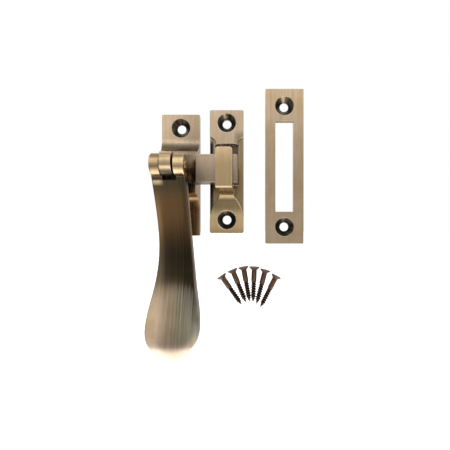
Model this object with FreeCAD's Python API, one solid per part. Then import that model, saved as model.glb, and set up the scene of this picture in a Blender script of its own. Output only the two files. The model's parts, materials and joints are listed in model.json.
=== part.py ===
import FreeCAD, Part
import math
import os

# Cockspur window handle (reversible casement fastener) with its hook plate, its
# mortice plate and six wood screws.  Millimetres.  Every piece is drawn lying on
# its back: x across, y up the window, z away from the window.  It is then stood
# up so that +Z is up and the fronts face -Y.  The origin is the turning axis of
# the spur, on the window surface.

# --- back plate ---------------------------------------------------------------
PLATE_WIDTH = 19.5
PLATE_LENGTH = 62.5
EAR_THICK = 3.0
TURRET_TOP = 11.5
TURRET_TOP_WIDTH = 17.8
TURRET_HALF = 10.2
PLATE_SCREW_PITCH = 48.6
PIVOT_BORE_R = 4.55
RECESS_R = 6.8
RECESS_DEPTH = 6.0

# --- screw holes shared by all three plates ---------------------------------------
SCREW_HOLE_R = 2.25
SINK_R = 4.9

# --- pivot hardware ---------------------------------------------------------------
SPIGOT_R = 4.5
SPIGOT_END = 5.0
THRUST_WASHER_THICK = 0.5
THRUST_WASHER_R = 8.0
FLAT_WASHER_THICK = 0.8
WASHER_R = 6.3
PIVOT_THREAD_R = 2.0
PIVOT_SCREW_END = 15.0
PIVOT_HEAD_R = 3.6
PIVOT_HEAD_THICK = 2.4

# --- spur -------------------------------------------------------------------------
ARM_HALF_HEIGHT = 6.4
HUB_REAR = TURRET_TOP + THRUST_WASHER_THICK
HUB_FRONT = 20.9
ARM_FRONT = 22.5
ARM_REAR = 13.8
NOSE_REAR = 15.5
NOSE_X = 29.6
ARM_RISE_START = 7.9
ARM_RISE_END = 10.9

# --- handle joint -----------------------------------------------------------------
PIN_Z = 30.3
PIN_R = 1.5
PIN_RUNNING_GAP = 0.05
OUTER_KNUCKLE_R = 4.75
MIDDLE_KNUCKLE_R = 4.95
MIDDLE_KNUCKLE_LIFT = 0.5
KNUCKLE_LEFT = -6.7
KNUCKLE_RIGHT = 7.7
MIDDLE_LEFT = -2.3
MIDDLE_RIGHT = 2.45
LEFT_GAP = 0.35
RIGHT_GAP = 0.9

# --- handle -----------------------------------------------------------------------
HANDLE_CENTRE_X = -0.15
HANDLE_TOP = -1.2
SLOT_FLOOR = -6.2
SHANK_HALF_WIDTH = 7.45
PADDLE_HALF_WIDTH = 12.4
PADDLE_WIDEST = -73.0
PADDLE_END = -86.7
HANDLE_WAIST = -43.0
WAIST_FRONT = 14.6
ROLL_START = -76.0
ROLL_RADIUS = 13.0
SHANK_RISE = 14.0
PADDLE_RISE = 28.5
PADDLE_FLATTEN = 17.5
PADDLE_REACH = 41.0
PADDLE_THICK = 5.3
SHANK_EXTRA = 0.5
HANDLE_CROWN = 1.3
HANDLE_EDGE_R = 0.9

# --- hook plate -------------------------------------------------------------------
HOOK_CENTRE_X = 23.7
HOOK_WIDTH = 17.4
HOOK_BOTTOM = -30.0
HOOK_TOP = 33.4
RAIL_THICK = 2.2
PAD_THICK = 3.5
POCKET_HALF_WIDTH = 6.0
POCKET_BOTTOM = -5.0
POCKET_TOP = 16.0
POCKET_FLOOR = 1.0
HOOK_SCREW_LOW = -23.1
HOOK_SCREW_HIGH = 26.9
STRAP_HALF_WIDTH = 3.7
STRAP_FRONT = 26.1
STRAP_THICK = 3.2
STRAP_TOP = 8.8
WEB_BOTTOM = -9.2
WEB_THICK = 2.1
WEB_FOOT_R = 4.6

# --- mortice plate ----------------------------------------------------------------
MORTICE_CENTRE_X = 53.5
MORTICE_CENTRE_Y = 4.6
MORTICE_WIDTH = 19.7
MORTICE_LENGTH = 80.0
MORTICE_THICK = 3.0
MORTICE_SLOT_WIDTH = 9.4
MORTICE_SLOT_LENGTH = 46.8
MORTICE_SCREW_PITCH = 62.6

# --- wood screws, 3/4 inch number 4 -----------------------------------------------
WOOD_LENGTH = 18.4
WOOD_HEAD_R = 2.7
WOOD_SHANK_R = 1.35
WOOD_CORE_R = 0.85
WOOD_PITCH = 1.25
WOOD_PLAIN = 7.0
WOOD_TIP = 3.0
FAN_CENTRE_X = 35.1
FAN_TOP_Y = -47.2
FAN_STEP = 5.68
FAN_SAG = 0.76
FAN_LEAN = 4.0
FAN_LEAN_STEP = 12.4

X_AXIS = FreeCAD.Vector(1, 0, 0)
Y_AXIS = FreeCAD.Vector(0, 1, 0)
Z_AXIS = FreeCAD.Vector(0, 0, 1)
ORIGIN = FreeCAD.Vector(0, 0, 0)
OVERCUT = 1.0


def vec(x, y, z):
    return FreeCAD.Vector(x, y, z)


def box(x0, x1, y0, y1, z0, z1):
    return Part.makeBox(x1 - x0, y1 - y0, z1 - z0, vec(x0, y0, z0))


def upright(radius, z0, z1, x=0.0, y=0.0):
    """Cylinder square to the window."""
    return Part.makeCylinder(radius, z1 - z0, vec(x, y, z0), Z_AXIS)


def crosswise(radius, x0, x1, y=0.0, z=PIN_Z):
    """Cylinder along the handle joint."""
    return Part.makeCylinder(radius, x1 - x0, vec(x0, y, z), X_AXIS)


def slab(points, direction):
    """Flat polygon pushed along a direction."""
    wire = Part.makePolygon(points + [points[0]])
    return Part.Face(wire).extrude(direction)


def line(a, b):
    return Part.LineSegment(a, b).toShape()


def arc(a, b, c):
    return Part.Arc(a, b, c).toShape()


def edges_where(shape, test):
    return [e for e in shape.Edges if test(e)]


def middle_of(edge):
    return edge.valueAt((edge.FirstParameter + edge.LastParameter) / 2.0)


def is_upright(edge):
    a = edge.valueAt(edge.FirstParameter)
    b = edge.valueAt(edge.LastParameter)
    return edge.Length > 0.5 and abs(a.x - b.x) < 1e-6 and abs(a.y - b.y) < 1e-6


def screw_hole(x, y, surface):
    """Through hole with a right-angled countersink from the given surface."""
    sink_depth = SINK_R - SCREW_HOLE_R
    bore = upright(SCREW_HOLE_R, -OVERCUT, surface + OVERCUT, x, y)
    start = vec(x, y, surface - sink_depth)
    cone = Part.makeCone(SCREW_HOLE_R, SINK_R, sink_depth, start, Z_AXIS)
    mouth = upright(SINK_R, surface, surface + TURRET_TOP, x, y)
    return bore.fuse(cone).fuse(mouth)


def with_holes(plate, places, surface):
    for x, y in places:
        plate = plate.cut(screw_hole(x, y, surface))
    return plate


def stand_up(shape):
    shape.rotate(ORIGIN, X_AXIS, 90)
    return shape


# --- back plate ---------------------------------------------------------------

def make_back_plate():
    """Two thin ears that sweep up through concave ramps into a raised turret."""
    half = PLATE_LENGTH / 2.0
    side = PLATE_WIDTH / 2.0
    ramp = TURRET_TOP - EAR_THICK
    ramp_mid = ramp * (1.0 - math.sqrt(0.5))
    ramp_foot = TURRET_HALF + ramp

    def at(y, z):
        return vec(-side, y, z)

    def ramp_arc(sign):
        mid = at(sign * (TURRET_HALF + ramp_mid), EAR_THICK + ramp_mid)
        ends = [at(sign * ramp_foot, EAR_THICK), at(sign * TURRET_HALF, TURRET_TOP)]
        return arc(ends[0], mid, ends[1])

    profile = Part.Wire(Part.__sortEdges__([
        line(at(-half, 0), at(half, 0)),
        line(at(half, 0), at(half, EAR_THICK)),
        line(at(half, EAR_THICK), at(ramp_foot, EAR_THICK)),
        ramp_arc(1),
        line(at(TURRET_HALF, TURRET_TOP), at(-TURRET_HALF, TURRET_TOP)),
        ramp_arc(-1),
        line(at(-ramp_foot, EAR_THICK), at(-half, EAR_THICK)),
        line(at(-half, EAR_THICK), at(-half, 0)),
    ]))
    plate = Part.Face(profile).extrude(vec(PLATE_WIDTH, 0, 0))
    top_side = TURRET_TOP_WIDTH / 2.0
    drafted = slab([
        vec(-side, -half, 0), vec(side, -half, 0), vec(side, -half, EAR_THICK),
        vec(top_side, -half, TURRET_TOP), vec(-top_side, -half, TURRET_TOP),
        vec(-side, -half, EAR_THICK),
    ], vec(0, PLATE_LENGTH, 0))
    plate = plate.common(drafted)
    plate = plate.makeFillet(0.5, edges_where(plate, is_upright))
    plate = plate.cut(upright(PIVOT_BORE_R, 0, TURRET_TOP + OVERCUT))
    plate = plate.cut(upright(RECESS_R, -OVERCUT, RECESS_DEPTH))
    row = PLATE_SCREW_PITCH / 2.0
    return with_holes(plate, [(0, row), (0, -row)], EAR_THICK)


# --- pivot hardware -----------------------------------------------------------

def ring(outer, inner, z0, z1):
    return upright(outer, z0, z1).cut(upright(inner, z0 - OVERCUT, z1 + OVERCUT))


def make_hub_thrust_washer():
    return ring(THRUST_WASHER_R, PIVOT_BORE_R, TURRET_TOP, HUB_REAR)


def make_pivot_flat_washer():
    return ring(WASHER_R, PIVOT_THREAD_R + 0.1, SPIGOT_END - FLAT_WASHER_THICK, SPIGOT_END)


def make_pivot_spring_washer():
    """Dished ring round the spigot, between the recess floor and the flat washer."""
    inner = SPIGOT_R + 0.15
    thick = 0.5
    section = [
        vec(inner, 0, RECESS_DEPTH), vec(inner, 0, RECESS_DEPTH - thick),
        vec(WASHER_R, 0, SPIGOT_END), vec(WASHER_R, 0, SPIGOT_END + thick),
    ]
    wire = Part.makePolygon(section + [section[0]])
    return Part.Face(wire).revolve(ORIGIN, Z_AXIS, 360)


def make_pivot_screw():
    """Slotted pan head in the rear recess, threaded into the hub."""
    head_rear = SPIGOT_END - FLAT_WASHER_THICK - PIVOT_HEAD_THICK
    head = upright(PIVOT_HEAD_R, head_rear, head_rear + PIVOT_HEAD_THICK)
    rim = edges_where(head, lambda e: abs(middle_of(e).z - head_rear) < 1e-6)
    head = head.makeFillet(0.8, rim)
    slot = box(-PIVOT_HEAD_R, PIVOT_HEAD_R, -0.5, 0.5, head_rear - OVERCUT, head_rear + 1.2)
    shank = upright(PIVOT_THREAD_R, head_rear + 1.5, PIVOT_SCREW_END)
    shank = shank.makeChamfer(0.4, edges_where(
        shank, lambda e: abs(middle_of(e).z - PIVOT_SCREW_END) < 1e-6))
    return head.cut(slot).fuse(shank).removeSplitter()


# --- spur ---------------------------------------------------------------------

def make_arm():
    """Arm and nose: wedge-shaped from behind, curved rise in front of the hub."""
    y = -ARM_HALF_HEIGHT
    span = ARM_RISE_END - ARM_RISE_START
    rise = ARM_FRONT - HUB_FRONT
    mid = vec(ARM_RISE_START + span * 0.62, y, HUB_FRONT + rise * 0.33)
    outline = [
        line(vec(0, y, HUB_REAR), vec(TURRET_TOP_WIDTH / 2.0, y, HUB_REAR)),
        line(vec(TURRET_TOP_WIDTH / 2.0, y, HUB_REAR), vec(ARM_RISE_END, y, ARM_REAR)),
        line(vec(ARM_RISE_END, y, ARM_REAR), vec(NOSE_X, y, NOSE_REAR)),
        line(vec(NOSE_X, y, NOSE_REAR), vec(NOSE_X, y, ARM_FRONT)),
        line(vec(NOSE_X, y, ARM_FRONT), vec(ARM_RISE_END, y, ARM_FRONT)),
        arc(vec(ARM_RISE_END, y, ARM_FRONT), mid, vec(ARM_RISE_START, y, HUB_FRONT)),
        line(vec(ARM_RISE_START, y, HUB_FRONT), vec(0, y, HUB_FRONT)),
        line(vec(0, y, HUB_FRONT), vec(0, y, HUB_REAR)),
    ]
    arm = Part.Face(Part.Wire(outline)).extrude(vec(0, 2 * ARM_HALF_HEIGHT, 0))

    def at_nose(e):
        m = middle_of(e)
        return abs(m.x - NOSE_X) < 1e-6 and abs(m.z - (NOSE_REAR + ARM_FRONT) / 2.0) > 1.0

    return arm.makeFillet(1.6, edges_where(arm, at_nose))


def make_neck():
    """Tongue that rises from the hub and ends in the middle knuckle."""
    low = MIDDLE_KNUCKLE_LIFT - MIDDLE_KNUCKLE_R
    high = MIDDLE_KNUCKLE_LIFT + MIDDLE_KNUCKLE_R
    stem = box(MIDDLE_LEFT, MIDDLE_RIGHT, low, high, HUB_FRONT - 2, PIN_Z)
    knuckle = crosswise(MIDDLE_KNUCKLE_R, MIDDLE_LEFT, MIDDLE_RIGHT, MIDDLE_KNUCKLE_LIFT)
    return stem.fuse(knuckle)


def make_spur():
    hub = upright(ARM_HALF_HEIGHT, HUB_REAR, HUB_FRONT)
    spigot = upright(SPIGOT_R, SPIGOT_END, HUB_REAR + 1)
    solid = hub.fuse([make_arm(), make_neck(), spigot]).removeSplitter()

    def long_edge(e):
        m = middle_of(e)
        flat = abs(abs(m.y) - ARM_HALF_HEIGHT) < 1e-6
        return flat and m.x > ARM_RISE_START and e.Length > ARM_HALF_HEIGHT

    solid = solid.makeFillet(0.4, edges_where(solid, long_edge))
    solid = solid.cut(upright(PIVOT_THREAD_R, SPIGOT_END - OVERCUT, PIVOT_SCREW_END + 1))
    return solid.cut(crosswise(PIN_R + PIN_RUNNING_GAP, MIDDLE_LEFT - 1, MIDDLE_RIGHT + 1))


# --- handle joint -------------------------------------------------------------

def make_knuckle_pin():
    pin = crosswise(PIN_R, KNUCKLE_LEFT - 0.25, KNUCKLE_RIGHT + 0.25)
    ends = edges_where(pin, lambda e: abs(middle_of(e).z - PIN_Z) <= PIN_R and e.Closed)
    return pin.makeFillet(0.3, ends)


def make_knuckle_spring_washer():
    """Dished washer on the pin, pressed between the middle and right knuckles."""
    thick = 0.5
    bore = PIN_R + PIN_RUNNING_GAP
    rim = 3.5
    x0 = MIDDLE_RIGHT
    x1 = MIDDLE_RIGHT + RIGHT_GAP
    section = [
        vec(x0, bore, PIN_Z), vec(x0 + thick, bore, PIN_Z),
        vec(x1, rim, PIN_Z), vec(x1 - thick, rim, PIN_Z),
    ]
    wire = Part.makePolygon(section + [section[0]])
    return Part.Face(wire).revolve(vec(0, 0, PIN_Z), X_AXIS, 360)


# --- handle -------------------------------------------------------------------

def handle_face(y):
    """Height of the front: leaves the knuckle, dips to a waist, swells at the paddle."""
    if y > HANDLE_WAIST:
        t = (y - HANDLE_WAIST) / 38.0
        return WAIST_FRONT + SHANK_RISE * (1.55 * t * t - 0.55 * t ** 3)
    t = (HANDLE_WAIST - y) / PADDLE_REACH
    return WAIST_FRONT + PADDLE_RISE * t * t - PADDLE_FLATTEN * t ** 3


def handle_front(y):
    """Front curve, with the end of the paddle rolled over on a circle."""
    if y > ROLL_START:
        return handle_face(y)
    t = (HANDLE_WAIST - ROLL_START) / PADDLE_REACH
    lean = math.atan((2 * PADDLE_RISE * t - 3 * PADDLE_FLATTEN * t * t) / PADDLE_REACH)
    centre_y = ROLL_START - ROLL_RADIUS * math.sin(lean)
    centre_z = handle_face(ROLL_START) - ROLL_RADIUS * math.cos(lean)
    return centre_z + math.sqrt(ROLL_RADIUS ** 2 - (centre_y - y) ** 2)


def handle_rear(y):
    """Rear curve: the section is thickest under the knuckle, thin at the paddle."""
    t = (y - PADDLE_END) / (HANDLE_TOP - PADDLE_END)
    return handle_face(y) - PADDLE_THICK - SHANK_EXTRA * t


def make_handle_body():
    """Crowned strip following the side curve, broad enough for the paddle."""
    half = PADDLE_HALF_WIDTH + 2.0
    steps = 18
    sections = []
    for i in range(steps + 1):
        y = HANDLE_TOP + (PADDLE_END - 0.2 - HANDLE_TOP) * i / steps
        front = handle_front(y)
        rear = handle_rear(y)
        left = vec(HANDLE_CENTRE_X - half, y, front - HANDLE_CROWN)
        right = vec(HANDLE_CENTRE_X + half, y, front - HANDLE_CROWN)
        rear_left = vec(HANDLE_CENTRE_X - half, y, rear - 0.6)
        rear_right = vec(HANDLE_CENTRE_X + half, y, rear - 0.6)
        sections.append(Part.Wire([
            arc(left, vec(HANDLE_CENTRE_X, y, front), right),
            line(right, rear_right),
            line(rear_right, rear_left),
            line(rear_left, left),
        ]))
    return Part.makeLoft(sections, True, False)


def make_handle_outline():
    """Plan outline of the shank and the pear-shaped paddle, as a tall prism."""

    def flank(sign):
        points = [
            (SHANK_HALF_WIDTH, HANDLE_TOP),
            (SHANK_HALF_WIDTH, -24.0),
            (SHANK_HALF_WIDTH + 0.8, -42.0),
            (PADDLE_HALF_WIDTH - 1.9, -58.6),
            (PADDLE_HALF_WIDTH, PADDLE_WIDEST),
        ]
        curve = Part.BSplineCurve()
        curve.interpolate(
            Points=[vec(HANDLE_CENTRE_X + sign * w, y, 0) for w, y in points],
            InitialTangent=vec(0, -1, 0), FinalTangent=vec(0, -1, 0))
        return curve.toShape()

    long_r = PADDLE_WIDEST - PADDLE_END
    ellipse = Part.Ellipse(vec(HANDLE_CENTRE_X, PADDLE_WIDEST - long_r, 0),
                           vec(HANDLE_CENTRE_X + PADDLE_HALF_WIDTH, PADDLE_WIDEST, 0),
                           vec(HANDLE_CENTRE_X, PADDLE_WIDEST, 0))
    end = Part.ArcOfEllipse(ellipse, -math.pi / 2, math.pi / 2).toShape()
    top = line(vec(HANDLE_CENTRE_X - SHANK_HALF_WIDTH, HANDLE_TOP, 0),
               vec(HANDLE_CENTRE_X + SHANK_HALF_WIDTH, HANDLE_TOP, 0))
    wire = Part.Wire(Part.__sortEdges__([flank(-1), end, flank(1), top]))
    return Part.Face(wire).extrude(vec(0, 0, 2 * PIN_Z))


def make_outer_knuckle(x0, x1, outer_face):
    barrel = crosswise(OUTER_KNUCKLE_R, x0, x1)
    rim = edges_where(barrel, lambda e: abs(middle_of(e).x - outer_face) < 1e-6 and e.Closed)
    return barrel.makeFillet(0.7, rim)


def make_handle():
    body = make_handle_body().common(make_handle_outline())

    def on_rim(e):
        m = middle_of(e)
        return m.y < HANDLE_TOP - 0.5 and e.Length > 5

    body = body.makeFillet(HANDLE_EDGE_R, edges_where(body, on_rim))
    slot = box(MIDDLE_LEFT - LEFT_GAP, MIDDLE_RIGHT + RIGHT_GAP,
               SLOT_FLOOR, OVERCUT, 0, 2 * PIN_Z)
    body = body.cut(slot)
    left = make_outer_knuckle(KNUCKLE_LEFT, MIDDLE_LEFT - LEFT_GAP, KNUCKLE_LEFT)
    right = make_outer_knuckle(MIDDLE_RIGHT + RIGHT_GAP, KNUCKLE_RIGHT, KNUCKLE_RIGHT)
    solid = body.fuse([left, right])
    return solid.cut(crosswise(PIN_R, KNUCKLE_LEFT - 1, KNUCKLE_RIGHT + 1))


# --- hook plate ---------------------------------------------------------------

def make_low_pad():
    """Raised pad and web foot that narrow to the strap through two bulging curves."""
    half = HOOK_WIDTH / 2.0
    shoulder = -24.0
    neck = -11.0
    rise = neck - shoulder
    gap = half - STRAP_HALF_WIDTH
    bulge = (gap * gap + rise * rise) / (2.0 * gap)
    angle = math.asin(rise / bulge) / 2.0
    bend_x = half - bulge * (1 - math.cos(angle))
    bend_y = shoulder + bulge * math.sin(angle)
    top = WEB_BOTTOM + WEB_THICK / 2.0

    def at(x, y):
        return vec(HOOK_CENTRE_X + x, y, 0)

    bell = Part.Face(Part.Wire([
        line(at(-half, HOOK_BOTTOM), at(half, HOOK_BOTTOM)),
        line(at(half, HOOK_BOTTOM), at(half, shoulder)),
        arc(at(half, shoulder), at(bend_x, bend_y), at(STRAP_HALF_WIDTH, neck)),
        line(at(STRAP_HALF_WIDTH, neck), at(STRAP_HALF_WIDTH, top)),
        line(at(STRAP_HALF_WIDTH, top), at(-STRAP_HALF_WIDTH, top)),
        line(at(-STRAP_HALF_WIDTH, top), at(-STRAP_HALF_WIDTH, neck)),
        arc(at(-STRAP_HALF_WIDTH, neck), at(-bend_x, bend_y), at(-half, shoulder)),
        line(at(-half, shoulder), at(-half, HOOK_BOTTOM)),
    ])).extrude(vec(0, 0, PAD_THICK + WEB_FOOT_R))
    return bell.common(make_foot_sweep(half))


def make_foot_sweep(half):
    """Side profile of the low pad: flat, then a hollow curve up to the web."""
    x = HOOK_CENTRE_X - half
    foot = WEB_BOTTOM - WEB_FOOT_R
    knee = WEB_FOOT_R * (1 - math.sqrt(0.5))
    crest = PAD_THICK + WEB_FOOT_R
    profile = Part.Wire([
        line(vec(x, 0, 0), vec(x, HOOK_BOTTOM, 0)),
        line(vec(x, HOOK_BOTTOM, 0), vec(x, HOOK_BOTTOM, PAD_THICK)),
        line(vec(x, HOOK_BOTTOM, PAD_THICK), vec(x, foot, PAD_THICK)),
        arc(vec(x, foot, PAD_THICK), vec(x, WEB_BOTTOM - knee, PAD_THICK + knee),
            vec(x, WEB_BOTTOM, crest)),
        line(vec(x, WEB_BOTTOM, crest), vec(x, 0, crest)),
        line(vec(x, 0, crest), vec(x, 0, 0)),
    ])
    return Part.Face(profile).extrude(vec(2 * half, 0, 0))


def make_high_pad():
    """Raised pad above the pocket, its two lower corners cut by hollow curves."""
    half = HOOK_WIDTH / 2.0
    low = POCKET_TOP
    corner = 4.0
    pad = box(HOOK_CENTRE_X - half, HOOK_CENTRE_X + half, low, HOOK_TOP, 0, PAD_THICK)
    for sign in (-1, 1):
        cutter = upright(corner, RAIL_THICK, PAD_THICK + 1, HOOK_CENTRE_X + sign * (half + 0.6), low - 0.4)
        pad = pad.cut(cutter)
    return pad


def make_strap():
    """Web rising from the low pad and the strap the nose slides behind."""
    x = HOOK_CENTRE_X - STRAP_HALF_WIDTH
    web_top = WEB_BOTTOM + WEB_THICK
    rear = STRAP_FRONT - STRAP_THICK
    corner = 1.2
    bend = corner * (1 - math.sqrt(0.5))
    root = RAIL_THICK - 1
    profile = [
        line(vec(x, web_top, root), vec(x, WEB_BOTTOM, root)),
        line(vec(x, WEB_BOTTOM, root), vec(x, WEB_BOTTOM, STRAP_FRONT - corner)),
        arc(vec(x, WEB_BOTTOM, STRAP_FRONT - corner), vec(x, WEB_BOTTOM + bend, STRAP_FRONT - bend),
            vec(x, WEB_BOTTOM + corner, STRAP_FRONT)),
        line(vec(x, WEB_BOTTOM + corner, STRAP_FRONT), vec(x, STRAP_TOP, STRAP_FRONT)),
        line(vec(x, STRAP_TOP, STRAP_FRONT), vec(x, STRAP_TOP, rear)),
        line(vec(x, STRAP_TOP, rear), vec(x, web_top, rear)),
        line(vec(x, web_top, rear), vec(x, web_top, root)),
    ]
    strap = Part.Face(Part.Wire(profile)).extrude(vec(2 * STRAP_HALF_WIDTH, 0, 0))

    def free_corner(e):
        return abs(middle_of(e).y - STRAP_TOP) < 1e-6 and is_upright(e)

    return strap.makeFillet(1.3, edges_where(strap, free_corner))


def make_hook_plate():
    half = HOOK_WIDTH / 2.0
    base = box(HOOK_CENTRE_X - half, HOOK_CENTRE_X + half, HOOK_BOTTOM, HOOK_TOP, 0, RAIL_THICK)
    plate = base.fuse([make_low_pad(), make_high_pad()]).removeSplitter()
    ends = edges_where(plate, lambda e: is_upright(e) and (
        abs(middle_of(e).y - HOOK_TOP) < 1e-6 or abs(middle_of(e).y - HOOK_BOTTOM) < 1e-6))
    plate = plate.makeFillet(0.9, ends)
    plate = plate.fuse(make_strap()).removeSplitter()
    pocket = box(HOOK_CENTRE_X - POCKET_HALF_WIDTH, HOOK_CENTRE_X + POCKET_HALF_WIDTH,
                 POCKET_BOTTOM, POCKET_TOP, POCKET_FLOOR, PAD_THICK)
    plate = plate.cut(pocket)
    places = [(HOOK_CENTRE_X, HOOK_SCREW_LOW), (HOOK_CENTRE_X, HOOK_SCREW_HIGH)]
    return with_holes(plate, places, PAD_THICK)


# --- mortice plate ------------------------------------------------------------

def make_mortice_plate():
    def centred(width, length, z0, z1):
        return box(MORTICE_CENTRE_X - width / 2.0, MORTICE_CENTRE_X + width / 2.0,
                   MORTICE_CENTRE_Y - length / 2.0, MORTICE_CENTRE_Y + length / 2.0, z0, z1)

    plate = centred(MORTICE_WIDTH, MORTICE_LENGTH, 0, MORTICE_THICK)
    plate = plate.makeFillet(0.6, edges_where(plate, is_upright))
    slot = centred(MORTICE_SLOT_WIDTH, MORTICE_SLOT_LENGTH, -OVERCUT, MORTICE_THICK + OVERCUT)
    slot = slot.makeFillet(0.4, edges_where(slot, is_upright))
    row = MORTICE_SCREW_PITCH / 2.0
    places = [(MORTICE_CENTRE_X, MORTICE_CENTRE_Y + sign * row) for sign in (-1, 1)]
    return with_holes(plate.cut(slot), places, MORTICE_THICK)


# --- wood screws --------------------------------------------------------------

def turned(points):
    """Solid of revolution about the y axis from (radius, y) points."""
    wire = Part.makePolygon([vec(r, y, 0) for r, y in points + [points[0]]])
    return Part.Face(wire).revolve(ORIGIN, Y_AXIS, 360)


def thread_profile():
    """Ridges of the thread down to the point; parallel rings stand for the helix."""
    points = []
    y = -WOOD_PLAIN
    while y > WOOD_PITCH * 0.5 - WOOD_LENGTH:
        for radius, share in ((WOOD_SHANK_R, 0.0), (WOOD_CORE_R, 0.32), (WOOD_CORE_R, 0.58)):
            level = y - WOOD_PITCH * share
            taper = min(1.0, (level + WOOD_LENGTH) / WOOD_TIP)
            points.append((radius * taper, level))
        y -= WOOD_PITCH
    return points


def make_wood_screw():
    """Slotted countersunk wood screw, head face at the origin, point along -y."""
    cone = WOOD_HEAD_R - WOOD_SHANK_R
    lip = 0.25
    blank = turned([(0, 0), (WOOD_HEAD_R, 0), (WOOD_HEAD_R, -lip), (WOOD_SHANK_R, -lip - cone)]
                   + thread_profile() + [(0, -WOOD_LENGTH)])
    slot = box(-WOOD_HEAD_R, WOOD_HEAD_R, -0.9, OVERCUT, -0.4, 0.4)
    return blank.cut(slot)


def fan_screw(master, index):
    """One of six screws laid side by side with their points together."""
    step = index - 2.5
    screw = master.copy()
    screw.rotate(ORIGIN, Z_AXIS, FAN_LEAN - FAN_LEAN_STEP * step)
    screw.translate(vec(FAN_CENTRE_X + FAN_STEP * step,
                        FAN_TOP_Y - FAN_SAG * step * step, WOOD_HEAD_R))
    return screw


def main():
    pieces = {
        "back_plate": make_back_plate(),
        "hub_thrust_washer": make_hub_thrust_washer(),
        "pivot_spring_washer": make_pivot_spring_washer(),
        "pivot_flat_washer": make_pivot_flat_washer(),
        "pivot_screw": make_pivot_screw(),
        "spur": make_spur(),
        "knuckle_spring_washer": make_knuckle_spring_washer(),
        "knuckle_pin": make_knuckle_pin(),
        "handle": make_handle(),
        "hook_plate": make_hook_plate(),
        "mortice_plate": make_mortice_plate(),
    }
    master = make_wood_screw()
    for index in range(6):
        pieces["wood_screw_%d" % (index + 1)] = fan_screw(master, index)
    os.makedirs("parts", exist_ok=True)
    for name, shape in pieces.items():
        solids = shape.Solids
        if len(solids) != 1 or not solids[0].isValid():
            raise RuntimeError("%s: %d solids" % (name, len(solids)))
        piece = stand_up(solids[0].copy())
        piece.exportStep("parts/%s.step" % name)
        size = piece.BoundBox
        print("%-22s vol %9.2f  x %.2f %.2f  y %.2f %.2f  z %.2f %.2f" % (
            name, piece.Volume, size.XMin, size.XMax, size.YMin, size.YMax,
            size.ZMin, size.ZMax))


main()
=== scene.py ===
import json
import math
from functools import reduce

import bpy
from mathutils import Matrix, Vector


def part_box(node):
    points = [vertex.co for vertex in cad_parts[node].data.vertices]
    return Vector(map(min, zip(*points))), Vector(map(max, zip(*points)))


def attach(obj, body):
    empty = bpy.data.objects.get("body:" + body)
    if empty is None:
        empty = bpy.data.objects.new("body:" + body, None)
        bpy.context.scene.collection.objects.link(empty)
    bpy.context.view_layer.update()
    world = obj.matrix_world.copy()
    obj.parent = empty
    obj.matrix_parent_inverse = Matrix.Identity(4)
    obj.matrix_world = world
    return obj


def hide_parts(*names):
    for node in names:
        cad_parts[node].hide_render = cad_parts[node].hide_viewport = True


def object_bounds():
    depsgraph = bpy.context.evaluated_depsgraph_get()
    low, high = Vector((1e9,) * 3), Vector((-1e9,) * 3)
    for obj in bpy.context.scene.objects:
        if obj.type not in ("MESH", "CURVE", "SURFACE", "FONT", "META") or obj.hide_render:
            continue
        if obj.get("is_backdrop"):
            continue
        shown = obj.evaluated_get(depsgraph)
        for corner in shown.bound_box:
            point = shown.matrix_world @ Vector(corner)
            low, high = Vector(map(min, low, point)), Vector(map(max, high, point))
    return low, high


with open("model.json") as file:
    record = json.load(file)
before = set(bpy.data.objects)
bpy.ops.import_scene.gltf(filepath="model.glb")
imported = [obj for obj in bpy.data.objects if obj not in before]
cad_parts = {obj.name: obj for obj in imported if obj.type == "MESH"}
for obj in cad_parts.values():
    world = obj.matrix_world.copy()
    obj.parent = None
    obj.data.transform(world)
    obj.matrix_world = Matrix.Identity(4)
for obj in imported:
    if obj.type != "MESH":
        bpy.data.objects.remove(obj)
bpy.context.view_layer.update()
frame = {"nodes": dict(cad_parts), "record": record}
NODES = frame["nodes"]
MOUNTS = {mount["name"]: mount for mount in frame["record"]["mounts"]}


# --- small helpers for node materials -------------------------------------------

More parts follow.
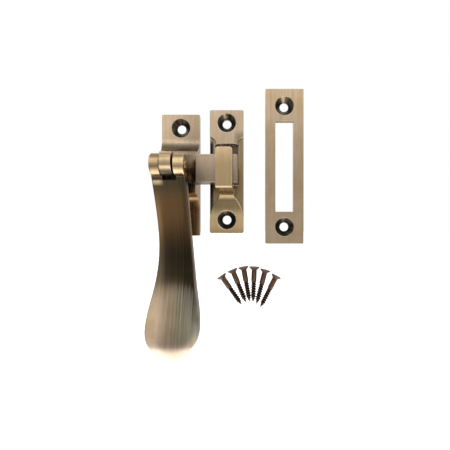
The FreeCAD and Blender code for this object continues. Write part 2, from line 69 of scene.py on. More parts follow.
class Graph:
    """Builds a node tree with short calls, in which numbers and sockets can be mixed."""

    def __init__(self, tree):
        self.tree = tree
        self.nodes = tree.nodes
        self.nodes.clear()

    def node(self, kind, **props):
        made = self.nodes.new(kind)
        for key, value in props.items():
            setattr(made, key, value)
        return made

    def link(self, source, target):
        self.tree.links.new(source, target)

    def put(self, socket, value):
        if isinstance(value, bpy.types.NodeSocket):
            self.link(value, socket)
        else:
            socket.default_value = value

    def math(self, operation, a, b=0.0, clamp=False):
        made = self.node("ShaderNodeMath", operation=operation, use_clamp=clamp)
        self.put(made.inputs[0], a)
        self.put(made.inputs[1], b)
        return made.outputs[0]

    def product(self, *factors):
        return reduce(lambda a, b: self.math("MULTIPLY", a, b), factors)

    def greatest(self, *values):
        return reduce(lambda a, b: self.math("MAXIMUM", a, b), values)

    def less(self, a, b, clamp=False):
        return self.math("SUBTRACT", a, b, clamp)

    def vector_math(self, operation, a, b):
        made = self.node("ShaderNodeVectorMath", operation=operation)
        self.put(made.inputs[0], a)
        self.put(made.inputs[1], b)
        return made

    def split(self, vector):
        made = self.node("ShaderNodeSeparateXYZ")
        self.put(made.inputs[0], vector)
        return made.outputs

    def join(self, x, y, z):
        made = self.node("ShaderNodeCombineXYZ")
        for socket, value in zip(made.inputs, (x, y, z)):
            self.put(socket, value)
        return made.outputs[0]

    def grey(self, value):
        return self.join(value, value, value)

    def noise(self, vector, scale, detail=4.0, rough=0.55):
        made = self.node("ShaderNodeTexNoise")
        self.put(made.inputs["Vector"], vector)
        made.inputs["Scale"].default_value = scale
        made.inputs["Detail"].default_value = detail
        made.inputs["Roughness"].default_value = rough
        return made.outputs["Fac"]

    def ramp(self, value, stops):
        """Linear ramp from (position, grey) stops."""
        made = self.node("ShaderNodeValToRGB")
        elements = made.color_ramp.elements
        while len(elements) < len(stops):
            elements.new(0.5)
        for element, (position, shade) in zip(elements, stops):
            element.position = position
            element.color = (shade, shade, shade, 1.0)
        self.put(made.inputs[0], value)
        return made.outputs[0]

    def spread(self, value, low, high, to_low=0.0, to_high=1.0):
        """Map low..high to to_low..to_high, flat outside; low may be the larger number."""
        made = self.node("ShaderNodeMapRange", clamp=True)
        self.put(made.inputs[0], value)
        for socket, number in zip(made.inputs[1:5], (low, high, to_low, to_high)):
            self.put(socket, number)
        return made.outputs[0]

    def blend(self, factor, a, b, mode="MIX"):
        made = self.node("ShaderNodeMix", data_type="RGBA", blend_type=mode)
        self.put(made.inputs["Factor"], factor)
        self.put(made.inputs["A"], a)
        self.put(made.inputs["B"], b)
        return made.outputs["Result"]

    def tint(self, base, factor):
        """Multiply a colour by a brightness, or by a colour."""
        if factor.type == "VALUE":
            factor = self.grey(factor)
        return self.blend(1.0, base, factor, "MULTIPLY")

    def bump(self, height, strength, distance):
        made = self.node("ShaderNodeBump")
        made.inputs["Strength"].default_value = strength
        made.inputs["Distance"].default_value = distance
        self.put(made.inputs["Height"], height)
        return made

    def show(self, shader, output="ShaderNodeOutputMaterial"):
        """Make a shader node the result of the tree."""
        self.link(shader.outputs[0], self.node(output).inputs[0])


def new_material(name):
    material = bpy.data.materials.new(name)
    material.use_nodes = True
    return material, Graph(material.node_tree)


def dress(node, material):
    """Give a CAD node one material all over."""
    mesh = NODES[node].data
    mesh.materials.clear()
    mesh.materials.append(material)
    for polygon in mesh.polygons:
        polygon.material_index = 0


# --- antique brass ----------------------------------------------------------------

BRASS_LIGHT = (0.670, 0.510, 0.365, 1.0)
BRASS_DEEP = (0.560, 0.400, 0.212, 1.0)
BRASS_DARK = (0.030, 0.021, 0.011, 1.0)
SPUR_DARK = (0.050, 0.050, 0.040, 1.0)
SINK_DARK = (0.070, 0.063, 0.050, 1.0)
# colour of edges brightened partly by wear and partly by painted highlight
WORN_EDGE_AND_HIGHLIGHT = (0.90, 0.77, 0.57, 1.0)

# Casts multiply the brass, so they can be above 1.
WHITE = (1.0, 1.0, 1.0, 1.0)
WARM = (1.42, 1.12, 0.86, 1.0)
COOL = (0.84, 1.02, 1.14, 1.0)
CREAM_HIGHLIGHT = (0.92, 0.97, 1.12, 1.0)

CLOUD_SCALE = 95.0       # noise frequency of the change of hue, per metre
CREVICE_REACH = 0.007    # how far painted shade and grime in crevices look for a neighbouring wall
BRUSH_DEPTH = 0.00004    # height of the brush marks
USUAL_WEAR_AND_HIGHLIGHT = 0.75        # how much edges are brightened by wear and painted highlight

SINK_RADIUS = 0.00492    # countersinks of the plates
SINK_RIM = 0.00025       # width over which their dark ends
PAINTED_GLINT_ANGLE = 1.75       # where the painted glint of a countersink sits, in radians from +x


class Place:
    """Sockets that a function for patina, painted shade or painted light can work with: where the surface is
    and how it faces.
    """

    def __init__(self, g, grain):
        coords = g.node("ShaderNodeTexCoord")
        self.point = coords.outputs["Object"]
        self.x, self.y, self.z = g.split(self.point)
        self.nx, self.ny, self.nz = g.split(coords.outputs["Normal"])
        stretched = g.vector_math("MULTIPLY", self.point, grain).outputs[0]
        finer = g.vector_math("MULTIPLY", self.point, tuple(4 * v for v in grain)).outputs[0]
        self.streaks = g.noise(stretched, 1.0, 3.0, 0.6)
        self.fine = g.noise(finer, 1.0, 2.0)
        self.clouds = g.noise(self.point, CLOUD_SCALE, 3.0)


def not_rear(g, at):
    """1 except on faces that look backwards."""
    return g.spread(at.ny, 0.60, 0.40)


def sinks_of(mount_name):
    """(x, z) of the two countersunk holes of a mount."""
    mount = MOUNTS[mount_name]
    x, _, z = mount["pos_m"]
    half = mount["dims"]["spacing_y_mm"] / 2000.0
    return [(x, z - half), (x, z + half)]


def add_sinks(g, at, base, sinks):
    """Dark turned countersinks with a painted glint."""
    front = not_rear(g, at)
    flat = g.join(at.x, 0.0, at.z)
    for hole_x, hole_z in sinks:
        away = g.vector_math("DISTANCE", flat, (hole_x, 0.0, hole_z)).outputs["Value"]
        inside = g.spread(away, SINK_RADIUS, SINK_RADIUS - SINK_RIM)
        around = g.math("ARCTAN2", g.less(at.z, hole_z), g.less(at.x, hole_x))
        turned = g.noise(g.join(g.product(around, 0.9), away, 0.0), 2.6, 2.0)
        # painted glint: the dark of the countersink thins out towards one angle
        from_painted_glint = g.math("ABSOLUTE", g.less(around, PAINTED_GLINT_ANGLE))
        painted_glint = g.spread(from_painted_glint, 0.10, 0.34, 0.42, 1.0)
        dark = g.product(inside, g.spread(turned, 0.58, 0.75, 1.0, 0.70), front, painted_glint)
        base = g.blend(dark, base, SINK_DARK)
    return base


def antique_brass(name, grain=(900.0, 900.0, 22.0), patina_and_shade=None, sinks=(), gold=None, tone=None,
                  cast=None, dark=BRASS_DARK, rough=0.25, edge=0.00024, wear_and_highlight=None, shade_and_grime=0.80):
    """Brushed, aged brass.  Grain is the noise frequency along x, y and z; the darkening function
    gives the share of dark ageing and painted shade, gold of the deeper hue, tone a brightness, cast
    a colour over it all and the edge function how much wear and painted highlight brighten the edges;
    sinks are dark cones with a painted glint; edge is the width of that brightening, and the crevice share is
    the most that painted shade and grime darken crevices."""
    material, g = new_material(name)
    at = Place(g, grain)
    hue = g.spread(at.clouds, 0.35, 0.68, 0.15, 0.75)
    if gold is not None:
        hue = g.math("ADD", hue, gold(g, at), clamp=True)
    base = g.blend(hue, BRASS_LIGHT, BRASS_DEEP)
    base = g.tint(base, g.spread(at.streaks, 0.30, 0.70, 0.91, 1.06))
    base = g.tint(base, g.spread(at.fine, 0.3, 0.7, 0.93, 1.06))

    if tone is not None:
        base = g.tint(base, tone(g, at))
    if patina_and_shade is not None:
        base = g.blend(patina_and_shade(g, at), base, dark)
    if cast is not None:
        base = g.tint(base, cast(g, at))
    base = add_sinks(g, at, base, sinks)

    # painted shade and grime where other surfaces stand close: in crevices and under nearby parts
    crevice = g.node("ShaderNodeAmbientOcclusion", samples=6)
    crevice.inputs["Distance"].default_value = CREVICE_REACH
    openness = crevice.outputs["AO"]
    base = g.blend(g.spread(openness, 0.10, 0.62, shade_and_grime, 0.0), base, BRASS_DARK)

    # edges brightened by wear and by painted highlight, not in crevices
    bevel = g.node("ShaderNodeBevel", samples=4)
    bevel.inputs["Radius"].default_value = edge
    flat_normal = g.node("ShaderNodeNewGeometry").outputs["Normal"]
    flatness = g.vector_math("DOT_PRODUCT", bevel.outputs[0], flat_normal).outputs["Value"]
    edge_wear_and_highlight = USUAL_WEAR_AND_HIGHLIGHT if wear_and_highlight is None else wear_and_highlight(g, at)
    rubbed_and_highlit = g.product(g.spread(flatness, 0.997, 0.90), g.spread(openness, 0.45, 0.70, 0.0, edge_wear_and_highlight))
    base = g.blend(rubbed_and_highlit, base, WORN_EDGE_AND_HIGHLIGHT)

    brushed = g.bump(g.math("ADD", at.streaks, g.product(at.fine, 0.5)), 0.14, BRUSH_DEPTH)
    g.put(brushed.inputs["Normal"], bevel.outputs[0])

    shader = g.node("ShaderNodeBsdfPrincipled")
    g.put(shader.inputs["Base Color"], base)
    shader.inputs["Metallic"].default_value = 1.0
    g.put(shader.inputs["Roughness"], g.spread(at.streaks, 0.3, 0.7, rough + 0.05, rough - 0.05))
    g.put(shader.inputs["Normal"], brushed.outputs[0])
    shader.inputs["Coat Weight"].default_value = 0.05
    shader.inputs["Coat Roughness"].default_value = 0.25
    g.show(shader)
    return material


# --- hardware metal ---------------------------------------------------------------

PIN_BRASS = (0.48, 0.36, 0.22)
WASHER_BRASS = (0.58, 0.45, 0.24)
ZINC_STEEL = (0.56, 0.56, 0.57)
SPRING_STEEL = (0.035, 0.030, 0.025)
SCREW_BRONZE = (0.125, 0.072, 0.045)
MOTTLE_DEPTH = 0.00003   # height of the mottling


def plain_metal(name, colour, rough, speckle=1800.0, variation=0.25, tone=None):
    """Plated or turned metal with fine mottling; speckle is the mottling's noise frequency."""
    material, g = new_material(name)
    point = g.node("ShaderNodeTexCoord").outputs["Object"]
    base = tuple(colour) + (1.0,)
    if tone is not None:
        base = g.tint(base, tone(g, point))
    mottle = g.noise(point, speckle, 4.0)
    base = g.tint(base, g.spread(mottle, 0.3, 0.7, 1.0 - variation, 1.0 + variation))
    shader = g.node("ShaderNodeBsdfPrincipled")
    g.put(shader.inputs["Base Color"], base)
    shader.inputs["Metallic"].default_value = 1.0
    g.put(shader.inputs["Roughness"], g.spread(mottle, 0.3, 0.7, rough + 0.08, rough - 0.06))
    g.put(shader.inputs["Normal"], g.bump(mottle, 0.12, MOTTLE_DEPTH).outputs[0])
    g.show(shader)
    return material


# --- painted reflection bands of the knuckles ---------------------------------------

# Heights are in the frame, whose z = 0 is the axis of the knuckle pin.
REFLECTION_LOW = -0.0070
REFLECTION_HIGH = 0.0055
REFLECTION_GAIN = 1.5

# (share of the height, brightness) of the painted reflection bands on the outer and the middle knuckles
OUTER_KNUCKLE_REFLECTION = [
    (0.00, 0.66), (0.08, 0.64), (0.12, 0.60), (0.17, 0.95), (0.238, 1.00), (0.304, 0.71), (0.369, 0.44),
    (0.434, 0.40), (0.500, 0.80), (0.565, 1.00), (0.631, 0.81), (0.696, 0.90), (0.762, 0.48), (0.870, 0.48),
    (1.000, 0.42)]
MIDDLE_KNUCKLE_REFLECTION = [
    (0.00, 0.60), (0.130, 0.80), (0.165, 1.00), (0.224, 0.21), (0.289, 0.10), (0.345, 0.36), (0.400, 1.00),
    (0.440, 1.00), (0.484, 0.68), (0.549, 0.76), (0.678, 0.76), (0.743, 0.62), (0.808, 0.80), (0.873, 0.52),
    (1.000, 0.80)]


def knuckle_reflection(g, at, reflection_bands):
    """Painted reflection bands along a knuckle, from (share of its height, brightness) stops."""
    return g.product(g.ramp(g.spread(at.z, REFLECTION_LOW, REFLECTION_HIGH), reflection_bands), REFLECTION_GAIN)


# --- handle -------------------------------------------------------------------------

HANDLE_LOW, HANDLE_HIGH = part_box("handle")
PADDLE_X = -0.00015        # middle of the paddle's round end
PADDLE_Z = -0.0730
PADDLE_HALF_X = 0.0124
PADDLE_HALF_Z = 0.0138

# (height, share of painted shade), from the paddle's end up to the knuckles.
HANDLE_PAINTED_SHADE = [
    (-0.0850, 0.05), (-0.0815, 0.38), (-0.0780, 0.60), (-0.0740, 0.66), (-0.0660, 0.72), (-0.0606, 0.71),
    (-0.0565, 0.79), (-0.0530, 0.94), (-0.0490, 0.99), (-0.0300, 0.99), (-0.0200, 0.96), (-0.0120, 0.96),
    (-0.0046, 0.99), (-0.0042, 0.12)]
# (height, share of it that painted light takes back again at the left).
HANDLE_PAINTED_LIGHT = [
    (-0.0840, 0.20), (-0.0780, 0.62), (-0.0700, 0.66), (-0.0620, 0.36), (-0.0580, 0.18), (-0.0540, 0.07),
    (-0.0480, 0.06), (-0.0120, 0.05)]


def along_handle(g, level, stops):
    """Ramp up the handle from (height, share) stops."""
    length = HANDLE_HIGH.z - HANDLE_LOW.z
    shares = [((height - HANDLE_LOW.z) / length, share) for height, share in stops]
    return g.ramp(g.spread(level, HANDLE_LOW.z, HANDLE_HIGH.z), shares)


def paddle_reach(g, at):
    """Distance from the middle of the paddle, 1 at its rim."""
    out_x = g.math("DIVIDE", g.less(at.x, PADDLE_X), PADDLE_HALF_X)
    out_z = g.math("DIVIDE", g.less(at.z, PADDLE_Z), PADDLE_HALF_Z)
    return g.math("SQRT", g.math("ADD", g.product(out_x, out_x), g.product(out_z, out_z)))


def handle_painted_shading(g, at):
    """Painted shade down the shank and the right of the paddle; painted light back on the paddle, most of all
    at left and rim.
    """
    ragged = g.spread(at.z, -0.0400, -0.0480, 0.0, 0.0055)
    level = g.math("ADD", at.z, g.product(g.less(at.streaks, 0.5), ragged))
    dark = along_handle(g, level, HANDLE_PAINTED_SHADE)

    # painted light at the left of the paddle and of the shank
    left = g.spread(at.x, -0.0010, -0.0082)
    dark = g.less(dark, g.product(left, along_handle(g, level, HANDLE_PAINTED_LIGHT)))
    shank_left = g.spread(at.x, -0.0046, -0.0072, 0.0, 0.20)
    below_knuckles = g.spread(at.z, -0.0100, -0.0200)
    dark = g.less(dark, g.product(shank_left, below_knuckles))

    # painted highlight: the rim of the paddle's end kept free of shade
    rim = g.spread(paddle_reach(g, at), 0.66, 0.94)
    round_end = g.spread(at.z, -0.0690, -0.0770)
    dark = g.product(dark, g.less(1.0, g.product(rim, round_end)))
    # painted shade down the right
    right = g.spread(at.x, 0.0040, 0.0085, 0.0, 0.12)
    above_end = g.spread(at.z, -0.0760, -0.0620)
    dark = g.math("ADD", dark, g.product(right, above_end), clamp=True)

    brushing = g.spread(at.z, -0.0520, -0.0580, 0.03, 0.44)
    brushed = g.less(1.0, g.product(brushing, g.spread(at.streaks, 0.64, 0.36)))
    dark = g.math("MULTIPLY", dark, brushed, clamp=True)

    # painted shadow on the right half of the paddle and down its right flank
    right_half = g.spread(at.x, 0.0010, 0.0085, 0.0, 0.18)
    upper_paddle = g.spread(at.z, -0.0720, -0.0600)
    below_neck = g.spread(at.z, -0.0480, -0.0570)
    flank = g.spread(at.x, 0.0098, 0.0114, 0.0, 0.16)
    flank_start = g.spread(at.z, -0.0780, -0.0700)
    flank_end = g.spread(at.z, -0.0560, -0.0600)
    shadow = g.greatest(g.product(right_half, upper_paddle, below_neck),
                        g.product(flank, flank_start, flank_end))
    dark = g.math("ADD", dark, shadow, clamp=True)

    # faces turned sideways take less of the painted shade
    side_share = g.spread(at.z, -0.0560, -0.0460, 0.35, 0.78)
    side = g.spread(g.math("ABSOLUTE", at.nx), 0.35, 0.75, 1.0, side_share)
    rear = g.spread(at.ny, 0.1, 0.5, 1.0, 0.75)
    dark = g.product(dark, side, rear)

    # painted highlight on the left half of the shank's top
    left_half = g.spread(at.x, -0.0022, -0.0042)
    shank_top = g.product(g.spread(at.z, -0.0060, -0.0066), g.spread(at.z, -0.0086, -0.0070))
    dark = g.less(dark, g.product(left_half, shank_top, 0.85), clamp=True)
    tip_line = g.spread(at.z, HANDLE_LOW.z + 0.00045, HANDLE_LOW.z + 0.00015, 0.0, 0.80)
    return g.greatest(dark, tip_line)


def handle_tone(g, at):
    """Painted highlight round the rim of the paddle and painted light low on it; painted reflection bands on
    the knuckles.
    """
    sideways = g.spread(at.x, -0.0040, 0.0040, 0.94, 1.30)
    on_knuckles = g.spread(at.z, -0.0062, -0.0055)
    reflection_bands = g.grey(g.product(knuckle_reflection(g, at, OUTER_KNUCKLE_REFLECTION), sideways))
    reflection_bands = g.blend(on_knuckles, WHITE, reflection_bands)

    # painted highlight round the paddle's rim, painted light on its lower end and lower left
    rim = g.product(g.spread(paddle_reach(g, at), 0.58, 0.84), g.spread(at.z, -0.0730, -0.0790))
    low_paddle = g.spread(at.z, -0.0750, -0.0790, 1.0, 1.18)
    painted_highlight = g.math("ADD", low_paddle, g.product(rim, 0.48))
    painted_highlight = g.product(painted_highlight, g.spread(at.z, -0.0808, -0.0836, 1.0, 0.80))
    lower_left = g.product(g.spread(at.x, -0.0030, -0.0070, 0.0, 0.10),
                           g.spread(at.z, -0.0760, -0.0805), g.spread(at.z, -0.0840, -0.0825))
    painted_highlight = g.product(painted_highlight, g.math("ADD", 1.0, lower_left))
    return g.blend(1.0, reflection_bands, g.grey(painted_highlight), "MULTIPLY")


def handle_wear_and_highlight(g, at):
    """Edges brightened by wear and painted highlight, except in the corner between knuckles and shank."""
    corner = g.product(g.spread(at.z, -0.0080, -0.0065), g.spread(at.z, -0.0040, -0.0048))
    return g.less(USUAL_WEAR_AND_HIGHLIGHT, g.product(corner, 0.68))


def handle_cast(g, at):
    """Redder shank, cooler right side of the paddle, cream painted highlight on the rim."""
    shank = g.product(g.spread(at.z, -0.0390, -0.0280), g.spread(at.z, -0.0090, -0.0150))
    paddle = g.product(g.spread(at.z, -0.0500, -0.0590), g.spread(at.z, -0.0810, -0.0760))
    right = g.spread(at.x, -0.0010, 0.0050)
    end = g.spread(at.z, -0.0770, -0.0820)
    colour = g.blend(shank, WHITE, WARM)
    colour = g.blend(g.product(paddle, right), colour, COOL)
    # cream of the painted highlight on the rim
    return g.blend(end, colour, CREAM_HIGHLIGHT)


def handle_gold(g, at):
    """Browner shank, cooler paddle."""
    return g.spread(at.z, -0.055, -0.030, -0.05, 0.5)


# --- spur ---------------------------------------------------------------------------

def spur_painted_shade(g, at):
    """Painted shade in the hollow where the arm rises beside the handle, and on faces turned down towards the
    lower edge.
    """
    slant = g.spread(at.z, -0.0045, 0.0045, 0.0020, -0.0012)
    # painted shade in the hollow beside the handle
    hollow = g.ramp(g.spread(g.less(at.x, slant), 0.0060, 0.0260), [
        (0.0, 0.80), (0.16, 0.56), (0.28, 0.36), (0.40, 0.14), (0.75, 0.06), (1.0, 0.20)])
    set_back = g.spread(at.y, -0.0262, -0.0232)
    # painted shade on faces turned down
    underside = g.spread(at.nz, -0.35, -0.75, 0.0, 0.35)
    return g.math("ADD", g.product(hollow, set_back), underside, clamp=True)


def spur_tone(g, at):
    """Painted reflection bands on the middle knuckle, the arm duller towards its lower edge."""
    on_knuckle = g.product(g.spread(at.x, 0.0034, 0.0030), g.spread(at.y, -0.0235, -0.0245))
    arm_front = g.spread(at.ny, -0.4, -0.8)
    arm = g.grey(g.spread(at.z, 0.0046, -0.0040, 1.0, 0.62))
    arm = g.blend(arm_front, WHITE, arm)
    return g.blend(on_knuckle, arm, g.grey(knuckle_reflection(g, at, MIDDLE_KNUCKLE_REFLECTION)))


def spur_gold(g, at):
    """Pinker arm."""
    return g.spread(at.x, 0.0080, 0.0120, 0.10, -0.45)


# --- hook plate ---------------------------------------------------------------------

HOOK_X = MOUNTS["hook_plate_screws"]["pos_m"][0]
HOOK_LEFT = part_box("hook_plate")[0].x


def hook_grime_and_shade(g, at):
    """Grime and painted shade in the pocket, painted shade down the rails, in the throat and on the top pad's
    right shoulder; web foot darker than the pads.
    """
    # grime and painted shade in the pocket
    pocket = g.spread(at.y, -0.0018, -0.0012, 0.0, 0.84)

    # painted shade down the rails, most of all the left one
    recessed = g.spread(at.y, -0.0034, -0.0028)
    rail_span = g.product(g.spread(at.z, -0.0300, -0.0260), g.spread(at.z, 0.0190, 0.0160))
    left_rail = g.product(g.spread(at.x, HOOK_LEFT + 0.0022, HOOK_LEFT + 0.0012), rail_span)
    left_share = g.spread(at.z, -0.0150, -0.0090, 0.52, 0.60)
    both_share = g.spread(at.z, 0.0215, 0.0175, 0.10, 0.40)
    rails = g.product(recessed, g.math("ADD", g.product(left_rail, left_share), both_share))

    web_foot = g.product(g.spread(at.y, -0.0038, -0.0056, 0.0, 0.60), g.spread(at.y, -0.0240, -0.0200))
    low_end = g.spread(at.z, -0.0250, -0.0300, 0.0, 0.22)

    # painted shade in the throat under the strap
    throat_depth = g.spread(at.y, -0.0026, -0.0032, 0.0, 0.40)
    throat_span = g.product(g.spread(at.z, -0.0205, -0.0165), g.spread(at.z, -0.0070, -0.0120))
    throat = g.product(throat_depth, throat_span, g.spread(at.y, -0.0080, -0.0050))

    # painted shade on the right shoulder of the top pad
    shoulder_side = g.spread(at.x, HOOK_X + 0.0030, HOOK_X + 0.0058, 0.0, 0.46)
    shoulder_span = g.product(g.spread(at.z, 0.0235, 0.0200), g.spread(at.z, 0.0, 0.0100))
    shoulder = g.product(shoulder_side, shoulder_span)

    dark = g.greatest(pocket, rails, web_foot, low_end, throat, shoulder)
    return g.product(dark, not_rear(g, at))


def hook_wear_and_highlight(g, at):
    """Edges brightened by wear and painted highlight, except down the left rail."""
    rail = g.product(g.spread(at.y, -0.0034, -0.0028), g.spread(at.x, HOOK_LEFT + 0.0024, HOOK_LEFT + 0.0016))
    return g.less(1.0, g.product(rail, 0.9))


def hook_tone(g, at):
    """Painted light on the low pad and the top of the strap."""
    pad = g.product(g.spread(at.z, -0.0170, -0.0210), g.spread(at.y, -0.0028, -0.0034),
                    g.spread(at.z, -0.0300, -0.0270, 0.45, 1.0))
    strap = g.product(g.spread(at.z, 0.0010, 0.0085), g.spread(at.y, -0.0240, -0.0255))
    return g.math("ADD", 1.0, g.product(g.greatest(pad, strap), 0.38))


def hook_gold(g, at):
    """Golden low pad and web, pinker high pad."""
    return g.spread(at.z, 0.0200, -0.0050, -0.25, 0.70)


# --- mortice plate --------------------------------------------------------------------

def mortice_patina(g, at):
    """Slight darkening towards the middle of the plate."""
    low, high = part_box("mortice_plate")
    return g.ramp(g.spread(at.z, low.z, high.z), [
        (0.0, 0.02), (0.22, 0.08), (0.50, 0.20), (0.72, 0.14), (0.95, 0.0)])


# --- back plate -----------------------------------------------------------------------

def back_painted_shade(g, at):
    """Painted shade: duller to the right and on the ramp up to the turret, brown under the arm."""
    # painted shade on faces turned up, such as the ramp to the turret, and towards the right
    ramp = g.spread(at.nz, 0.08, 0.45, 0.0, 0.76)
    dullest = g.spread(at.z, 0.0260, 0.0170, 0.18, 0.40)
    right = g.spread(at.x, -0.0060, 0.0070, 0.0, dullest)
    # painted shadow under the arm
    under_arm = g.spread(at.z, -0.0050, -0.0100, 0.0, 0.30)
    return g.product(g.greatest(ramp, right, under_arm), not_rear(g, at))


def back_tone(g, at):
    """Painted light, brightest at the left."""
    return g.spread(at.x, 0.0060, -0.0090, 1.04, 1.18)


def back_gold(g, at):
    """Golden lower part."""
    return g.spread(at.z, 0.0, -0.0100, -0.20, 0.70)


def back_cast(g, at):
    """Redder under the arm."""
    under_arm = g.product(g.spread(at.z, -0.0040, -0.0080, 0.0, 0.42), not_rear(g, at))
    return g.blend(under_arm, WHITE, WARM)


# --- finishes of the CAD nodes ----------------------------------------------------------

dress("back_plate", antique_brass(
    "brass_back_plate", patina_and_shade=back_painted_shade, gold=back_gold, tone=back_tone, cast=back_cast, shade_and_grime=0.62,
    sinks=sinks_of("back_plate_screws")))
dress("hook_plate", antique_brass(
    "brass_hook_plate", patina_and_shade=hook_grime_and_shade, gold=hook_gold, tone=hook_tone, edge=0.00065, wear_and_highlight=hook_wear_and_highlight,
    sinks=sinks_of("hook_plate_screws")))
dress("mortice_plate", antique_brass(
    "brass_mortice_plate", patina_and_shade=mortice_patina, sinks=sinks_of("mortice_plate_screws")))
dress("spur", antique_brass(
    "brass_spur", grain=(700.0, 500.0, 40.0), patina_and_shade=spur_painted_shade, gold=spur_gold, tone=spur_tone,
    dark=SPUR_DARK, shade_and_grime=0.50))
dress("handle", antique_brass(
    "brass_handle", grain=(1500.0, 60.0, 16.0), patina_and_shade=handle_painted_shading, gold=handle_gold, tone=handle_tone,
    cast=handle_cast, wear_and_highlight=handle_wear_and_highlight, rough=0.28, shade_and_grime=0.36))
dress("knuckle_pin", plain_metal("brass_pin", PIN_BRASS, 0.30))
dress("hub_thrust_washer", plain_metal("washer_brass", WASHER_BRASS, 0.34))
steel = plain_metal("zinc_steel", ZINC_STEEL, 0.32)
for steel_node in ("pivot_spring_washer", "pivot_flat_washer", "pivot_screw"):
    dress(steel_node, steel)
dress("knuckle_spring_washer", plain_metal("dark_spring_steel", SPRING_STEEL, 0.45))


# --- loose screws with a cut helical thread -----------------------------------------------

SCREW_HEAD = 0.0027      # radii
SCREW_SHANK = 0.00135
SCREW_ROOT = 0.00096
SCREW_CREST = 0.00142
SCREW_LIP = 0.00025      # straight rim of the head
SCREW_PLAIN = 0.0070     # from the head's face to the start of the thread
SCREW_TAPER = 0.0030     # length of the point
SCREW_PITCH = 0.00125
SCREW_SIDES = 36
ROWS_PER_TURN = 9.0      # rings of the mesh in one turn of the thread
RIDGE_HALF = 0.36        # half the width of a ridge, in turns
SLOT_HALF = 0.0004
SLOT_DEPTH = 0.0009
TOOL_CLEAR = 0.0005      # how far the slot's cutter stands above the head
SHARP_EDGE = math.radians(32)
TOLERANCE = 0.0001       # softness of the screw's own borders


def thread_radius(down, turn, length):
    """Radius of the threaded part at a depth below the head and an angle in turns."""
    phase = ((down - SCREW_PLAIN) / SCREW_PITCH + turn) % 1.0
    ridge = max(0.0, 1.0 - abs(phase - 0.5) / RIDGE_HALF)
    start = min(1.0, max(0.0, (down - SCREW_PLAIN) / (0.5 * SCREW_PITCH)))
    root = SCREW_SHANK + (SCREW_ROOT - SCREW_SHANK) * start
    taper = min(1.0, max(0.0, (length - down) / SCREW_TAPER))
    return (root + (SCREW_CREST - root) * ridge) * taper


def screw_rows(length):
    """(depth, radius or None) of each ring of the mesh; None where the thread gives it."""
    cone_end = SCREW_LIP + SCREW_HEAD - SCREW_SHANK
    rows = [(0.0, SCREW_HEAD), (SCREW_LIP, SCREW_HEAD), (cone_end, SCREW_SHANK), (SCREW_PLAIN, SCREW_SHANK)]
    step = SCREW_PITCH / ROWS_PER_TURN
    down = SCREW_PLAIN + step
    while down < length - 0.5 * step:
        rows.append((down, None))
        down += step
    return rows


def screw_blank(length):
    """Unslotted screw, head face at the origin, point down -z."""
    rows = screw_rows(length)
    points = [(0.0, 0.0, 0.0)]
    for down, radius in rows:
        for side in range(SCREW_SIDES):
            turn = side / SCREW_SIDES
            out = thread_radius(down, turn, length) if radius is None else radius
            points.append((out * math.cos(math.tau * turn), out * math.sin(math.tau * turn), -down))
    points.append((0.0, 0.0, -length))

    def index(row, side):
        return 1 + row * SCREW_SIDES + side % SCREW_SIDES

    faces = []
    tip = len(points) - 1
    last = len(rows) - 1
    for side in range(SCREW_SIDES):
        faces.append((0, index(0, side), index(0, side + 1)))
        for row in range(last):
            upper = (index(row, side), index(row, side + 1))
            lower = (index(row + 1, side), index(row + 1, side + 1))
            faces.append((upper[0], lower[0], lower[1], upper[1]))
        faces.append((index(last, side), tip, index(last, side + 1)))
    mesh = bpy.data.meshes.new("screw_blank")
    mesh.from_pydata(points, [], faces)
    return mesh


def slotted(blank):
    """The blank with a driver slot across its head."""
    body = bpy.data.objects.new("screw_body", blank)
    reach = SCREW_HEAD * 1.1
    corners = [(x, y, z) for x in (-reach, reach) for y in (-SLOT_HALF, SLOT_HALF)
               for z in (-SLOT_DEPTH, TOOL_CLEAR)]
    sides = [(0, 1, 3, 2), (4, 6, 7, 5), (0, 4, 5, 1), (2, 3, 7, 6), (0, 2, 6, 4), (1, 5, 7, 3)]
    mesh = bpy.data.meshes.new("slot")
    mesh.from_pydata(corners, [], sides)
    tool = bpy.data.objects.new("slot", mesh)
    for obj in (body, tool):
        bpy.context.scene.collection.objects.link(obj)
    cut = body.modifiers.new("slot", "BOOLEAN")
    cut.operation = "DIFFERENCE"
    cut.solver = "EXACT"
    cut.object = tool
    bpy.context.view_layer.update()
    shaped = bpy.data.meshes.new_from_object(body.evaluated_get(bpy.context.evaluated_depsgraph_get()))
    for obj in (body, tool):
        bpy.data.objects.remove(obj)
    return shaped


def screw_axis(node):
    """Tip, direction from tip to head, and length of a loose screw, from its own mesh."""
    points = [vertex.co.copy() for vertex in NODES[node].data.vertices]
    tip = min(points, key=lambda point: point.z)
    reach = max((point - tip).length for point in points)
    rim = [point for point in points if (point - tip).length > reach - TOLERANCE]
    head = sum(rim, Vector()) / len(rim)
    return tip, (head - tip).normalized(), (head - tip).length


def thread_tone(tip, axis, length):
    """Tone for one screw: the roots of its thread black, the crests brown, the shank lighter."""
    threaded = length - SCREW_PLAIN

    def tone(g, place):
        point = g.vector_math("SUBTRACT", place, tuple(tip)).outputs[0]
        along = g.vector_math("DOT_PRODUCT", point, tuple(axis)).outputs["Value"]
        square = g.vector_math("DOT_PRODUCT", point, point).outputs["Value"]
        out = g.math("SQRT", g.less(square, g.product(along, along)))
        full = g.math("DIVIDE", out, g.spread(along, 0.0, SCREW_TAPER, 0.02, 1.0))
        ridge = g.spread(full, SCREW_ROOT + TOLERANCE, SCREW_CREST - TOLERANCE, 0.04, 1.10)
        shank = g.spread(along, threaded - TOLERANCE, threaded + TOLERANCE)
        return g.math("ADD", g.product(shank, 1.20), g.product(ridge, g.less(1.0, shank)))

    return tone


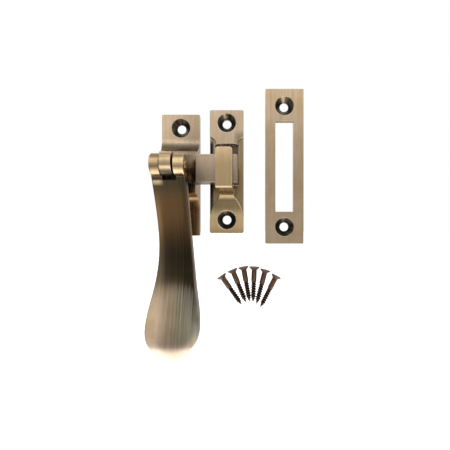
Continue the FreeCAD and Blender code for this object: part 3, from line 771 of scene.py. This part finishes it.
def place_screw(node, master):
    """A threaded screw where the plain CAD one lies."""
    number = node.rsplit("_", 1)[1]
    tip, axis, length = screw_axis(node)
    across = Vector((0.0, 1.0, 0.0)).cross(axis).normalized()
    deep = axis.cross(across)
    head = tip + axis * length
    mesh = master.copy()
    for vertex in mesh.vertices:
        x, y, z = vertex.co
        vertex.co = head + across * x + deep * y + axis * z
    mesh.shade_smooth()
    mesh.set_sharp_from_angle(angle=SHARP_EDGE)
    mesh.materials.append(plain_metal("bronzed_screw_" + number, SCREW_BRONZE, 0.36, speckle=2600.0,
                                      variation=0.55, tone=thread_tone(tip, axis, length)))
    screw = bpy.data.objects.new("threaded_screw_" + number, mesh)
    bpy.context.scene.collection.objects.link(screw)
    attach(screw, "fixed_plates")
    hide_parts(node)


SCREW_NODES = sorted(name for name in NODES if name.startswith("wood_screw_"))
master_screw = slotted(screw_blank(screw_axis(SCREW_NODES[0])[2]))
for screw_node in SCREW_NODES:
    place_screw(screw_node, master_screw)
bpy.data.meshes.remove(master_screw)


# --- studio -----------------------------------------------------------------------------

# (degrees above the horizon, brightness) of the room that the metal reflects.
ROOM_BANDS = [
    (-90, 0.80), (-64, 0.80), (-46, 0.62), (-27, 0.25), (-10, 0.20), (0, 0.26), (11, 0.28), (23, 0.44),
    (33, 0.46), (40, 0.72), (47, 0.40), (68, 0.42), (80, 0.20)]
ROOM_STRENGTH = 2.25
FLOOR_HALF = 3.0
FLOOR_GAP = 0.010


def studio_world():
    """White surroundings for the camera; for reflections a banded soft-box room."""
    world = bpy.data.worlds.new("studio")
    world.use_nodes = True
    bpy.context.scene.world = world
    g = Graph(world.node_tree)
    up = g.split(g.node("ShaderNodeTexCoord").outputs["Generated"])[2]
    share = g.math("ADD", g.math("DIVIDE", g.math("ARCSINE", up), math.pi), 0.5)
    bands = g.ramp(share, [((degrees + 90.0) / 180.0, brightness) for degrees, brightness in ROOM_BANDS])
    room = g.node("ShaderNodeBackground")
    g.put(room.inputs["Color"], bands)
    room.inputs["Strength"].default_value = ROOM_STRENGTH
    seen = g.node("ShaderNodeBackground")
    seen.inputs["Color"].default_value = WHITE
    seen.inputs["Strength"].default_value = 1.0
    mix = g.node("ShaderNodeMixShader")
    g.put(mix.inputs[0], g.node("ShaderNodeLightPath").outputs["Is Camera Ray"])
    g.link(room.outputs[0], mix.inputs[1])
    g.link(seen.outputs[0], mix.inputs[2])
    g.show(mix, "ShaderNodeOutputWorld")


def pale_floor():
    """Plain white floor below the object, left out of its reflections and shadows."""
    half = FLOOR_HALF
    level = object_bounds()[0][2] - FLOOR_GAP
    mesh = bpy.data.meshes.new("floor")
    corners = [(-half, -half, level), (half, -half, level), (half, half, level), (-half, half, level)]
    mesh.from_pydata(corners, [], [(0, 1, 2, 3)])
    floor = bpy.data.objects.new("floor", mesh)
    bpy.context.scene.collection.objects.link(floor)
    material, g = new_material("pale_floor")
    point = g.node("ShaderNodeTexCoord").outputs["Object"]
    pale = g.ramp(g.noise(point, 3.0), [(0.0, 0.94), (1.0, 0.97)])
    shader = g.node("ShaderNodeBsdfPrincipled")
    g.put(shader.inputs["Base Color"], pale)
    shader.inputs["Roughness"].default_value = 0.6
    g.put(shader.inputs["Emission Color"], pale)
    shader.inputs["Emission Strength"].default_value = 0.55
    g.show(shader)
    mesh.materials.append(material)
    floor.visible_glossy = False
    floor.visible_diffuse = False
    floor.visible_shadow = False
    floor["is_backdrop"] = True


studio_world()
pale_floor()


# --- camera -----------------------------------------------------------------------------

# Close view square to the plates, off the object's middle.
CAMERA_PLACE = (0.0331, -0.157, -0.0257)
SENSOR_MM = 36.0
LENS_MM = 23.864
LENS_SHIFT = -2 / 45     # share of the picture's width

camera_data = bpy.data.cameras.new("camera")
camera_data.sensor_width = SENSOR_MM
camera_data.lens = LENS_MM
camera_data.shift_x = LENS_SHIFT
camera_data.clip_start = 0.005
camera = bpy.data.objects.new("camera", camera_data)
bpy.context.scene.collection.objects.link(camera)
camera.location = CAMERA_PLACE
camera.rotation_euler = (math.radians(90), 0, 0)
bpy.context.scene.camera = camera
bpy.context.scene.view_settings.view_transform = "Standard"
